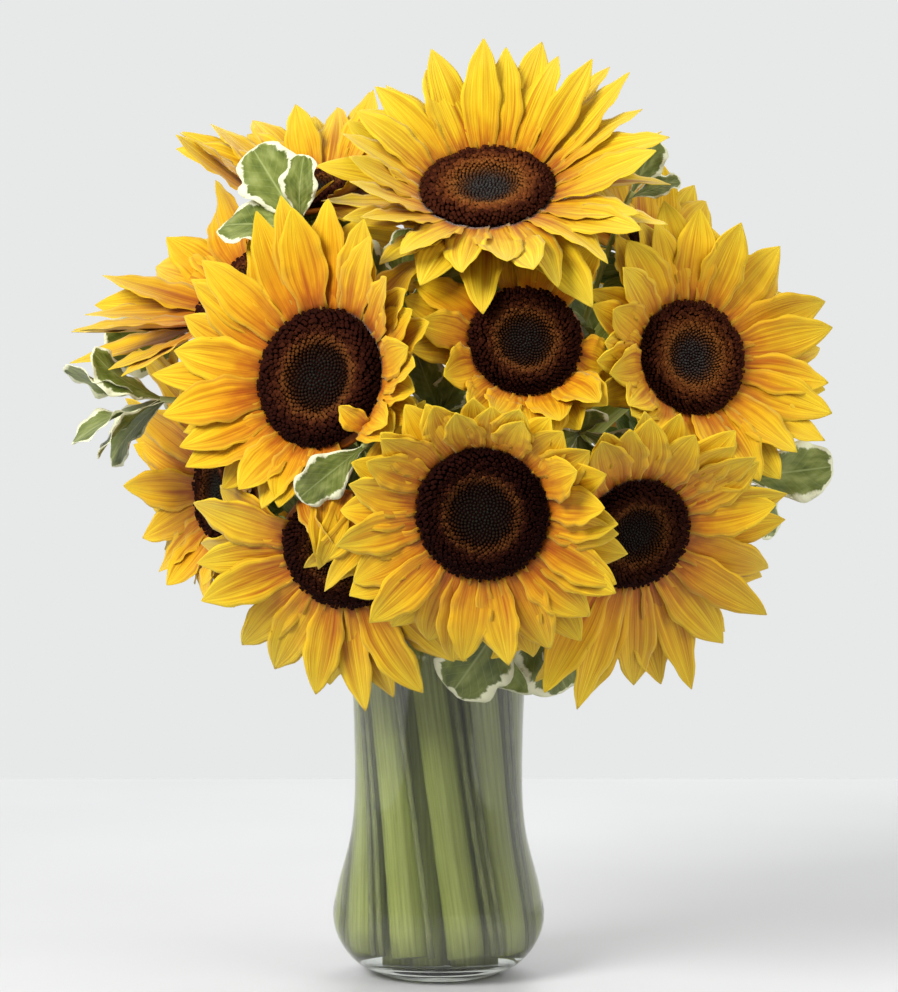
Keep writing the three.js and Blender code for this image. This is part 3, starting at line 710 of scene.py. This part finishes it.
LEAF_GREENS = [(0.3, (0.070, 0.098, 0.011)), (0.7, (0.25, 0.28, 0.075)), (0.5, (0.145, 0.175, 0.030))]


def petal_material():
    """Petals: darker at the root, yellower to the tip, with fine lines along them."""
    shade = Shade("petals", Roughness=0.5, Specular_IOR_Level=0.3, Sheen_Weight=0.15, Sheen_Roughness=0.4)
    along, across = shade.value("along"), shade.value("across")
    own = shade.times(shade.value("chance"), 91.0)
    blotch = shade.grain(1.3, 3.0, own, scale=1.6)
    reach = shade.math("ADD", along, shade.level(blotch, -0.22, 0.22))
    base = shade.mix(shade.value("tint"), shade.ramp(reach, AMBER), shade.ramp(reach, LEMON))
    # fine lines from root to tip, and a few stronger brown-orange streaks near the root
    lines = shade.grain(13.0, 1.2, own, detail=3.0)
    streaks = shade.grain(4.0, 0.9, own)
    strong = shade.times(shade.above(streaks, 0.48), shade.above(1.05, along))
    base = shade.mix(shade.times(strong, 5.0, clamp=True), base, (0.42, 0.105, 0.004))
    base = shade.mix(shade.level(lines, -0.6, 1.6), base, shade.tinted(base, (0.62, 0.44, 0.3)))
    edge = shade.math("POWER", shade.math("ABSOLUTE", across), 5.0)
    shade.colour(shade.mix(shade.times(edge, 0.35), base, (0.86, 0.62, 0.03)))
    shade.bump(lines, 0.5, 0.0005)
    return shade.material


def floret_material():
    shade = Shade("florets", Roughness=0.8, Specular_IOR_Level=0.12)
    own = shade.value("chance")
    reach = shade.math("ADD", shade.value("share"), shade.level(own, -0.035, 0.035))
    base = shade.mix(shade.value("kind"), shade.ramp(reach, CLOSED_DISC), shade.ramp(reach, OPEN_DISC))
    # lighter tips, and some florets darker than others
    tip = shade.math("POWER", shade.value("high"), 3.0)
    base = shade.mix(shade.times(tip, 0.4), base, shade.tinted(base, (2.2, 1.9, 1.7)))
    shade.colour(shade.mix(shade.level(own, 0.0, 0.5), base, shade.tinted(base, (0.45, 0.4, 0.4))))
    return shade.material


def stem_material():
    shade = Shade("stem", Roughness=0.48, Specular_IOR_Level=0.4)
    ribs = shade.grain(5.0, 0.012, 3.0, detail=3.0, rough=0.6)
    patch = shade.grain(0.8, 0.03, 7.0)
    base = shade.ramp(ribs, STEM_GREENS)
    shade.colour(shade.mix(shade.level(patch, -0.3, 0.6), base, (0.42, 0.42, 0.06)))
    shade.bump(ribs, 0.5, 0.0006)
    return shade.material


def leaf_material():
    shade = Shade("leaves", Roughness=0.42, Specular_IOR_Level=0.45)
    along, across = shade.value("along"), shade.value("across")
    own = shade.times(shade.value("chance"), 57.0)
    wide = shade.math("ABSOLUTE", across)
    # the cream margin, ragged on its inside
    margin = shade.math("MAXIMUM", wide, shade.math("POWER", along, 7.0))
    ragged = shade.grain(1.4, 9.0, own, scale=1.1, detail=4.0, rough=0.6)
    cream = shade.math("ADD", margin, shade.level(ragged, -0.36, 0.28))
    cream = shade.times(shade.math("SUBTRACT", cream, 0.72), 14.0, clamp=True)
    tone = shade.grain(2.2, 3.2, own, scale=1.3, detail=3.0)
    green = shade.ramp(tone, LEAF_GREENS)
    # slanted veins from the midrib
    slanted = shade.math("MULTIPLY_ADD", wide, -9.0, shade.times(along, 34.0))
    veins = shade.math("ABSOLUTE", shade.math("SINE", slanted))
    vein = shade.times(shade.above(0.16, veins), 2.2, clamp=True)
    rib = shade.times(shade.above(0.05, wide), 16.0, clamp=True)
    green = shade.mix(shade.math("MAXIMUM", vein, rib), green, (0.32, 0.36, 0.13))
    base = shade.mix(cream, green, (0.74, 0.74, 0.50))
    paler = shade.tinted(base, (1.25, 1.25, 1.2))
    shade.colour(shade.mix(shade.times(shade.value("back"), 0.4), base, paler))
    shade.bump(shade.math("ADD", shade.times(veins, 0.5), tone), 0.35, 0.0006)
    return shade.material


def bract_material():
    shade = Shade("bracts", Roughness=0.55, Specular_IOR_Level=0.35)
    lines = shade.grain(6.0, 0.8, shade.times(shade.value("chance"), 31.0), detail=3.0)
    shade.colour(shade.ramp(lines, [(0.3, (0.10, 0.16, 0.035)), (0.7, (0.27, 0.35, 0.11))]))
    shade.bump(lines, 0.4, 0.0005)
    return shade.material


def shoot_material():
    shade = Shade("shoots", Roughness=0.55)
    grain = shade.grain(2.0, 0.08, 1.0, scale=1.5, detail=3.0)
    shade.colour(shade.ramp(grain, [(0.3, (0.22, 0.25, 0.07)), (0.7, (0.46, 0.48, 0.17))]))
    shade.bump(grain, 0.4, 0.0004)
    return shade.material


def clear_material(name, ior, colour):
    """Glass or water: clear, with a faint drift in its colour and surface."""
    shade = Shade(name, Roughness=0.0, IOR=ior, Transmission_Weight=1.0)
    drift = shade.noise(shade.node("ShaderNodeTexCoord").outputs["Object"], 14.0, 1.0)
    shade.colour(shade.mix(drift, colour, tuple(part * 0.985 for part in colour)))
    shade.bump(drift, 0.03, 0.002)
    return shade.material


# ---- Vase and water ----


VASE_SIDES, WATER_SIDES, SPAN_PIECES = 128, 96, 12
INTO_GLASS = 0.15  # the water reaches this far into the glass, so that no air shows between them
LIP = [(-0.2, 202.7), (-1.5, 203.1), (-2.8, 202.7)]  # beyond the rim's radius, and height
LIP_BOTTOM = 201.5


def outline():
    """The outside of the glass, as a smooth line through its points, from the foot to the rim."""
    known = np.array(VASE_OUTLINE, float)
    # one more point past each end
    known = np.concatenate([known[:1] * 2 - known[1:2], known, known[-1:] * 2 - known[-2:-1]])
    points = []
    for before, here, after, beyond in zip(known, known[1:], known[2:], known[3:]):
        for t in np.linspace(0, 1, SPAN_PIECES, endpoint=False):
            slope = after - before
            bend = 2 * before - 5 * here + 4 * after - beyond
            twist = 3 * here - before - 3 * after + beyond
            points.append(0.5 * (2 * here + slope * t + bend * t**2 + twist * t**3))
    return np.array(points + [VASE_OUTLINE[-1]])


def inside(top, inset, floor):
    """The inner wall, this far in from the outside, from a height down to the middle of the floor."""
    wall = outline()[::-1]
    wall = wall[(wall[:, 1] > TURN_UP) & (wall[:, 1] < top)] - (inset, 0)
    brim = np.array([[np.interp(top, outline()[:, 1], outline()[:, 0]) - inset, top]])
    bend = wall[-1]
    radius = FLOOR_RADIUS - (inset - VASE_WALL)
    a = np.linspace(0, math.pi / 2, 12)[1:]
    across, down = radius + (bend[0] - radius) * np.cos(a), bend[1] + (floor - bend[1]) * np.sin(a)
    turn = np.stack([across, down], axis=1)
    flat = [(radius * k / 6, floor) for k in (5, 4, 3, 2, 1, 0.02)]
    return np.concatenate([brim, wall, turn, flat])


def make_vase():
    outer = outline()
    foot = [(0.3, 1.6), (14, 1.3), (22, 0.6), (26, 0.0)]
    lip = [(outer[-1][0] + beyond, height) for beyond, height in LIP]
    mesh = Mesh()
    lathe(mesh, [*foot, *outer, *lip, *inside(LIP_BOTTOM, VASE_WALL, VASE_FLOOR)], VASE_SIDES)
    mesh.piece("glass_vase", clear_material("glass", 1.5, (0.985, 0.995, 0.99)), "glass", "vase")


def make_water():
    """The water, with its surface turned up a little at the glass. Its solid has the stems' holes."""
    wall = inside(WATER_LEVEL, VASE_WALL - INTO_GLASS, VASE_FLOOR - INTO_GLASS)
    edge = wall[0][0]
    surface = [(0.02, WATER_LEVEL - 0.9), (edge * 0.5, WATER_LEVEL - 0.9), (edge - 4, WATER_LEVEL - 0.8),
               (edge - 1.5, WATER_LEVEL - 0.45)]
    mesh = Mesh()
    lathe(mesh, [*surface, *wall], WATER_SIDES)
    mesh.piece("vase_water", clear_material("water", 1.333, (0.985, 0.998, 0.95)), "water", "water")


# ---- Sunflower heads ----

FLORET_TURN = math.pi * (3 - math.sqrt(5))
# From the middle of the disc to its edge: the height of the bed and the height of the florets on it.
SHARES = (0, 0.36, 0.55, 0.62, 0.7, 0.86, 0.95, 1.0)
BED = (2.0, 1.7, 2.5, 2.9, 2.3, 1.9, 1.0, 0.4)
TALL = (1.5, 1.5, 2.1, 2.5, 3.4, 4.6, 4.4, 3.6)
# The florets cover a share of the disc, reach, and their bed and feet are shares of that. The first heads,
# which show most, have the full number of florets. A floret of size 1 suits typical_count of them on a
# disc of typical_radius.
FLORETS = dict(
    side_count=5, full=1000, fewer=560, full_heads=7, reach=0.94, bed_reach=0.97, foot_reach=0.94,
    open_from=0.52, typical_radius=27, typical_count=700,
)
OPEN_HEADS = (1, 3)  # heads whose florets have opened most
# First owners of the draws for florets, curled petals and bracts.
FLORET_OWNER, CURLED_OWNER, BRACT_OWNER = 40, 60, 300
BED_SIDES, TISSUE_SIDES, CUP_SIDES = 40, 40, 36


def floret_form(open_mouth):
    """Points of one floret about its own axis: a bud, or a trumpet with a starry mouth."""
    sides = FLORETS["side_count"]
    turns = np.array(around(sides))
    levels = [(0.0, 0.85), (0.5, 1.0), (0.85, 0.6)]
    if open_mouth:
        levels = [(0.0, 0.75), (0.62, 0.7), (1.0, 1.15)]
    rings = [np.stack([r * np.cos(turns), r * np.sin(turns), np.full(sides, z)], axis=1) for z, r in levels]
    tip = np.array([[0, 0, 0.7 if open_mouth else 1.0]])
    faces = []
    for start in (0, sides):
        faces += [
            (start + j, start + (j + 1) % sides, start + sides + (j + 1) % sides, start + sides + j)
            for j in range(sides)
        ]
    faces += [(2 * sides + j, 2 * sides + (j + 1) % sides, 3 * sides) for j in range(sides)]
    return np.concatenate([*rings, tip]), faces


BUD, TRUMPET = floret_form(False), floret_form(True)


def disc_mesh(head, index):
    """The florets of a disc, in the spiral that they grow in, and the bed that they stand on."""
    mesh = Mesh()
    disc, way, at = head["disc"] * FLORETS["reach"], head["way"], head["at"]
    kind = 1.0 if index in OPEN_HEADS else chance(index, 3, 3) * 0.3
    bed = [(0.01, BED[0]), *zip(SHARES[1:], BED[1:]), (0.9, 0.3), (0.4, 0.35), (0.01, 0.35)]
    profile = [(disc * share * FLORETS["bed_reach"], height) for share, height in bed]
    rings, _ = head_rings(head, profile, BED_SIDES)
    shape = rings.shape[:2]
    mesh.grid(rings, wrap=True, share=np.full(shape, 0.85), chance=np.full(shape, 0.9),
              high=np.zeros(shape), kind=np.zeros(shape))
    count = FLORETS["full"] if index < FLORETS["full_heads"] else FLORETS["fewer"]
    for j in range(count):
        share = math.sqrt((j + 0.5) / count)
        draw = [chance(index + FLORET_OWNER, j, n) for n in range(4)]
        turn = FLORET_TURN * j
        radial = way.clock(turn)
        outward = 0.05 + 0.75 * float(smooth(share, 0.72, 1.0)) + between(-0.14, 0.14, draw[0])
        axis = unit(way.out + radial * outward)
        side = unit(np.cross(axis, way.clock(turn + 1.3 + draw[1])))
        other = np.cross(axis, side)
        tall = np.interp(share, SHARES, TALL) * between(0.8, 1.25, draw[2])
        size = np.interp(share, (0, 0.5, 0.8, 1), (0.62, 0.8, 1.0, 0.85)) * between(0.85, 1.15, draw[3])
        size *= disc / FLORETS["typical_radius"] * math.sqrt(FLORETS["typical_count"] / count)
        foot = at + radial * disc * share * FLORETS["foot_reach"] + way.out * np.interp(share, SHARES, BED)
        points, faces = TRUMPET if share > FLORETS["open_from"] else BUD
        flat = size * (points[:, :1] * side + points[:, 1:2] * other)
        placed = foot + flat + points[:, 2:] * tall * axis
        mesh.add(placed, faces, share=share, chance=draw[1], high=points[:, 2], kind=kind)
    return mesh


# Small petals that curl in over a disc: head, and [clock angle, length, pitch, curl] of each.
CURLED = {
    2: [(-40, 16, 58, -60)],
    6: [
        (14, 40, 30, -44), (34, 46, 34, -46), (56, 44, 36, -50), (78, 38, 40, -50), (98, 34, 42, -50),
        (118, 26, 46, -50),
    ],
}


def curled_petals(head, index):
    """Petals rooted at the disc's edge that point in over it."""
    made = []
    for k, (clock, length, pitch, curl) in enumerate(CURLED.get(index, ())):
        inward = -head["way"].clock(rad(clock))
        draw = [chance(index + CURLED_OWNER, k, n) for n in range(4)]
        made.append(dict(
            root=head["at"] - inward * (head["disc"] + 1) + head["way"].out * 3.0,
            radial=inward, out=head["way"].out, pitch=rad(pitch), curl=rad(curl), length=length,
            sway=between(-0.25, 0.25, draw[0]), roll=rad(between(-50, 50, draw[1])),
            fine_half=fine_petal_half(between(9, 13, draw[2])), fold=0.3, wave=0.12, chance=draw[3],
        ))
    return made


def petal_mesh(head, index):
    """All the petals of a head, and the ring of tissue that carries them under the disc's edge."""
    mesh = Mesh()
    for petal in head["petals"] + curled_petals(head, index):
        tint = min(max(head["lemon"] + between(-0.2, 0.2, petal["chance"]), 0), 1)
        blade_mesh(mesh, {**petal, "half": petal["fine_half"], "tint": tint}, **PETAL_BLADE)
    radius = head["disc"] + PLATE_REACH
    tissue = [(radius * 0.7, -0.3), (radius - 1, -0.2), (radius, -1.2), (radius - 1, -2.4)]
    tissue.append((radius * 0.7, -2.5))
    rings, _ = head_rings(head, tissue, TISSUE_SIDES)
    shape = rings.shape[:2]
    mesh.grid(rings, wrap=True, along=np.zeros(shape), across=np.zeros(shape), back=np.zeros(shape),
              chance=np.full(shape, 0.5), tint=np.full(shape, head["lemon"]))
    return mesh


STRAIGHT_PIECES, SHOOT_PIECES = 12, 10
STALK_SIDES, SHOOT_SIDES, SHOOT_RADIUS = 27, 10, 1.45


def stalk_mesh(head):
    """The stem: even to the top of the vase, then narrowing to its neck."""
    mesh = Mesh()
    thick, neck = head["stem"] - 0.2, STEM["neck"] - 0.4
    narrowed = smooth(np.linspace(0, 1, FINE_STEM_STEPS + 1), 0, 0.5)
    radii = [thick] * STRAIGHT_PIECES + [neck + (thick - neck) * (1 - share) for share in narrowed]
    tube(mesh, finely(head["fine"], STRAIGHT_PIECES), radii, STALK_SIDES, ribs=0.035)
    return mesh


# Rows of bracts on a cup: share of the disc's radius, height, pitch, count and length.
BRACT_ROWS = [(0.92, -5.0, -40, 22, 13), (0.78, -9.0, -36, 16, 16), (0.55, -13.0, -24, 12, 14)]
BRACT_WIDTH = 8.5


def cup_mesh(head):
    """The green cup behind the petals, with its rows of pointed bracts."""
    mesh = Mesh()
    disc, way, at = head["disc"], head["way"], head["at"]
    profile = [(5.6, -22), (7.5, -19), (disc * 0.42, -15.5), (disc * 0.68, -12), (disc * 0.86, -8.5),
               (disc - 2.5, -5.5), (disc - 3.5, -3.2), (disc * 0.5, -3.1), (0.3, -3.1)]
    rings, turns = head_rings(head, profile, CUP_SIDES)
    shape = rings.shape[:2]
    across = np.tile(np.sin(3 * turns), (len(profile), 1))
    mesh.grid(rings, wrap=True, along=np.full(shape, 0.2), across=across, chance=np.full(shape, 0.4),
              back=np.zeros(shape), tint=np.zeros(shape))
    for row, (share, height, pitch, count, length) in enumerate(BRACT_ROWS):
        for k in range(count):
            draw = [chance(BRACT_OWNER + row, k, n) for n in range(4)]
            angle = 2 * math.pi * (k + 0.5 * row + between(-0.2, 0.2, draw[0])) / count
            radial = way.clock(angle)
            bract = dict(
                root=at + radial * disc * share + way.out * height, radial=radial, out=way.out,
                pitch=rad(pitch + between(-7, 7, draw[1])), curl=rad(between(-20, 20, draw[2]) + 0.5),
                length=length * between(0.85, 1.15, draw[3]), sway=between(-0.1, 0.1, draw[0]),
                roll=rad(between(-15, 15, draw[1])), half=petal_half(BRACT_WIDTH), fold=0.2, wave=0.05,
                chance=draw[2],
            )
            blade_mesh(mesh, bract, **BRACT_BLADE)
    return mesh


def make_heads():
    petals, florets = petal_material(), floret_material()
    stems, bracts = stem_material(), bract_material()
    for i, head in enumerate(HEADS):
        name = f"sunflower_{i + 1:02d}"
        petal_mesh(head, i).piece(f"{name}_fine_petals", petals, "petals", f"{name}_petals")
        disc_mesh(head, i).piece(f"{name}_florets", florets, "florets", f"{name}_disc")
        stalk_mesh(head).piece(f"{name}_stalk", stems, "stem", f"{name}_stem")
        cup_mesh(head).piece(f"{name}_cup", bracts, "stem")


# ---- Foliage ----


def make_foliage():
    """Each spray's leaves and its thin stem."""
    leaves, shoots = leaf_material(), shoot_material()
    for i, spray in enumerate(SHOOTS):
        name = f"foliage_{i + 1:02d}"
        mesh = Mesh()
        for blade in spray["blades"]:
            blade_mesh(mesh, blade, **LEAF_BLADE)
        mesh.piece(f"{name}_leaves", leaves, "leaves", name)
        stem = Mesh()
        route = finely(spray["fine"], SHOOT_PIECES)
        tube(stem, route, [SHOOT_RADIUS] * len(route), SHOOT_SIDES)
        stem.piece(f"{name}_shoot", shoots, "stem")


# ---- Stage ----

PHOTO = (898, 992)
FOCAL_PX = 3347
CAMERA_AT = (0.005, -1.6, 0.3)
CAMERA_DOWN = 2.54
TABLE = dict(half_width=1.5, front=-0.5, back=0.722, under=-0.0002)


def make_camera():
    camera = bpy.data.cameras.new("camera")
    camera.sensor_width = 36
    camera.lens = FOCAL_PX * camera.sensor_width / max(PHOTO)
    camera.clip_start, camera.clip_end = 0.05, 30
    obj = bpy.data.objects.new("camera", camera)
    obj.location = CAMERA_AT
    obj.rotation_euler = (rad(90 - CAMERA_DOWN), 0, 0)
    bpy.context.scene.collection.objects.link(obj)
    bpy.context.scene.camera = obj


def make_floor():
    mesh = bpy.data.meshes.new("floor")
    across, z = TABLE["half_width"], TABLE["under"]
    corners = [(x, y, z) for y in (TABLE["front"], TABLE["back"]) for x in (-across, across)]
    mesh.from_pydata(corners, [], [(0, 1, 3, 2)])
    shade = Shade("floor", Roughness=0.35, Specular_IOR_Level=0.3)
    cloud = shade.noise(shade.node("ShaderNodeTexCoord").outputs["Object"], 3.0, 3.0)
    shade.colour(shade.ramp(cloud, [(0.3, (0.52, 0.522, 0.525)), (0.7, (0.56, 0.562, 0.565))]))
    mesh.materials.append(shade.material)
    obj = bpy.data.objects.new("floor", mesh)
    bpy.context.scene.collection.objects.link(obj)


def area_light(name, at, towards, size, power, into_glass=False):
    """A round light that shows in no reflection. Only one that says so is seen through the glass."""
    light = bpy.data.lights.new(name, "AREA")
    light.shape, light.size, light.energy = "DISK", size, power
    obj = bpy.data.objects.new(name, light)
    obj.location = at
    obj.rotation_mode = "QUATERNION"
    obj.rotation_quaternion = (Vector(towards) - Vector(at)).to_track_quat("-Z", "Y")
    obj.visible_glossy = False
    obj.visible_transmission = into_glass
    bpy.context.scene.collection.objects.link(obj)


FRONT_WALL, BACK_WALL = (0.37, 0.37, 0.37), (0.80, 0.81, 0.81)


def make_light():
    """A plain room, bright behind the vase and darker behind the camera, and three lights."""
    world = bpy.data.worlds.new("studio")
    world.use_nodes = True
    nodes, links = world.node_tree.nodes, world.node_tree.links
    direction = nodes.new("ShaderNodeTexCoord").outputs["Generated"]
    apart = nodes.new("ShaderNodeSeparateXYZ")
    links.new(direction, apart.inputs[0])
    sky = nodes.new("ShaderNodeMapRange")
    sky.interpolation_type = "SMOOTHSTEP"
    sky.inputs["From Min"].default_value, sky.inputs["From Max"].default_value = -0.5, 0.5
    links.new(apart.outputs["Y"], sky.inputs["Value"])
    tone = nodes.new("ShaderNodeMix")
    tone.data_type = "RGBA"
    links.new(sky.outputs[0], tone.inputs[0])
    tone.inputs[6].default_value, tone.inputs[7].default_value = (*FRONT_WALL, 1), (*BACK_WALL, 1)
    links.new(tone.outputs[2], nodes["Background"].inputs["Color"])
    bpy.context.scene.world = world
    bpy.context.scene.view_settings.view_transform = "Standard"
    area_light("key", (-1.4, -1.5, 1.6), (0, 0, 0.25), 1.3, 80, into_glass=True)
    area_light("fill", (1.7, -1.1, 1.1), (0, 0, 0.2), 1.6, 24)
    area_light("back", (0.3, 1.6, 1.5), (0, 0, 0.3), 1.2, 20)


make_camera()
make_floor()
make_light()
make_vase()
make_water()
make_heads()
make_foliage()
